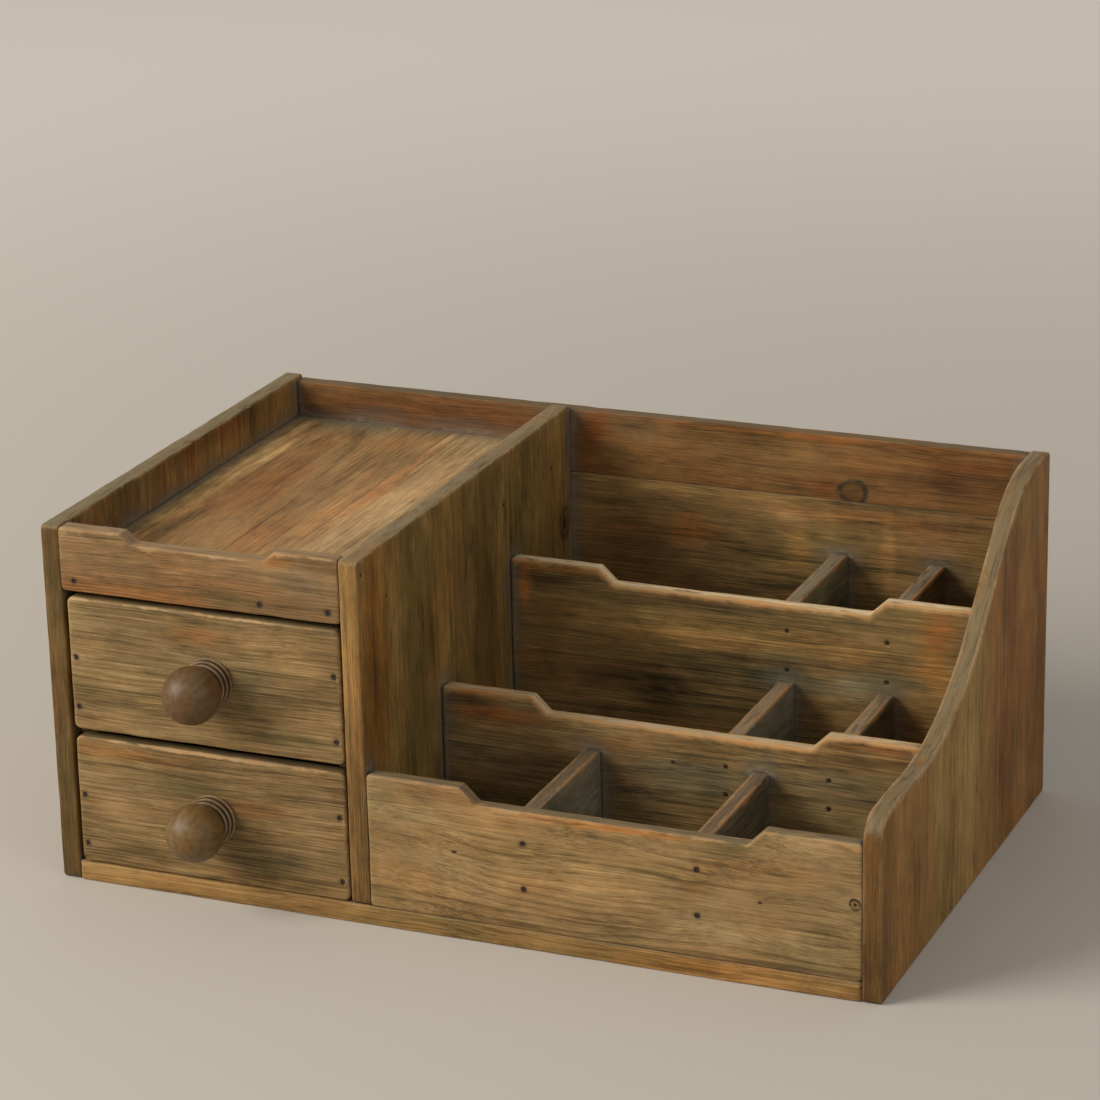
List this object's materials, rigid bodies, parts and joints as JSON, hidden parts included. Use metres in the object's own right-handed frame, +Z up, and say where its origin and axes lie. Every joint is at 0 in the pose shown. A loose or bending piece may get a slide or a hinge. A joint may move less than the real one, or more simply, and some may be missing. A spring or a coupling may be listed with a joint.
{
  "type": "drawer cabinet",
  "caption": "Low stained-wood desktop cabinet: knobbed drawers under a shallow notched tray, beside a stepped rack of open cells with a swept side panel.",
  "frame": {"origin": "centre of the carcass footprint, on its flat underside", "axes": "+X to the right seen from the front, +Y to the back, +Z up; the drawers open towards -Y"},
  "size_m": [0.38, 0.27, 0.165],
  "materials": {
    "stained_wood": "aged brown stain, worn edges, satin",
    "drawer_front_wood": "aged tan-brown stain, worn edges, satin",
    "drawer_box_wood": "plain light stain, matt",
    "plywood": "plain thin board, matt",
    "knob_wood": "turned, dark stain, satin",
    "steel": "dark oxidised steel"
  },
  "bodies": {
    "carcass": {"left_panel": "stained_wood", "middle_panel": "stained_wood", "right_panel": "stained_wood", "base_board": "stained_wood", "back_plank_lower": "stained_wood", "back_plank_upper": "stained_wood", "tray_floor_left": "stained_wood", "tray_floor_right": "stained_wood", "tray_front": "stained_wood", "front_board": "stained_wood", "middle_step_board": "stained_wood", "rear_step_board": "stained_wood", "front_divider_left": "stained_wood", "front_divider_right": "stained_wood", "middle_divider_left": "stained_wood", "middle_divider_right": "stained_wood", "rear_divider_left": "stained_wood", "rear_divider_right": "stained_wood", "left_runner": "drawer_box_wood", "right_runner": "drawer_box_wood", "left_panel_nails": "steel", "middle_panel_nails": "steel", "right_panel_nails": "steel", "base_nails": "steel", "back_nails": "steel", "tray_front_nails": "steel", "front_board_nails": "steel", "middle_step_nails": "steel", "rear_step_nails": "steel", "runner_nails": "steel"},
    "upper_drawer": {"upper_drawer_front": "drawer_front_wood", "upper_drawer_left_side": "drawer_box_wood", "upper_drawer_right_side": "drawer_box_wood", "upper_drawer_back": "drawer_box_wood", "upper_drawer_bottom": "plywood", "upper_drawer_knob": "knob_wood", "upper_drawer_knob_screw": "steel", "upper_drawer_nails": "steel"},
    "lower_drawer": {"lower_drawer_front": "drawer_front_wood", "lower_drawer_left_side": "drawer_box_wood", "lower_drawer_right_side": "drawer_box_wood", "lower_drawer_back": "drawer_box_wood", "lower_drawer_bottom": "plywood", "lower_drawer_knob": "knob_wood", "lower_drawer_knob_screw": "steel", "lower_drawer_nails": "steel"}
  },
  "joints": [
    {"name": "upper_drawer_slide", "type": "slide", "parent": "carcass", "child": "upper_drawer", "axis": [0, -1, 0], "range_m": [0, 0.15]},
    {"name": "lower_drawer_slide", "type": "slide", "parent": "carcass", "child": "lower_drawer", "axis": [0, -1, 0], "range_m": [0, 0.15]}
  ]
}
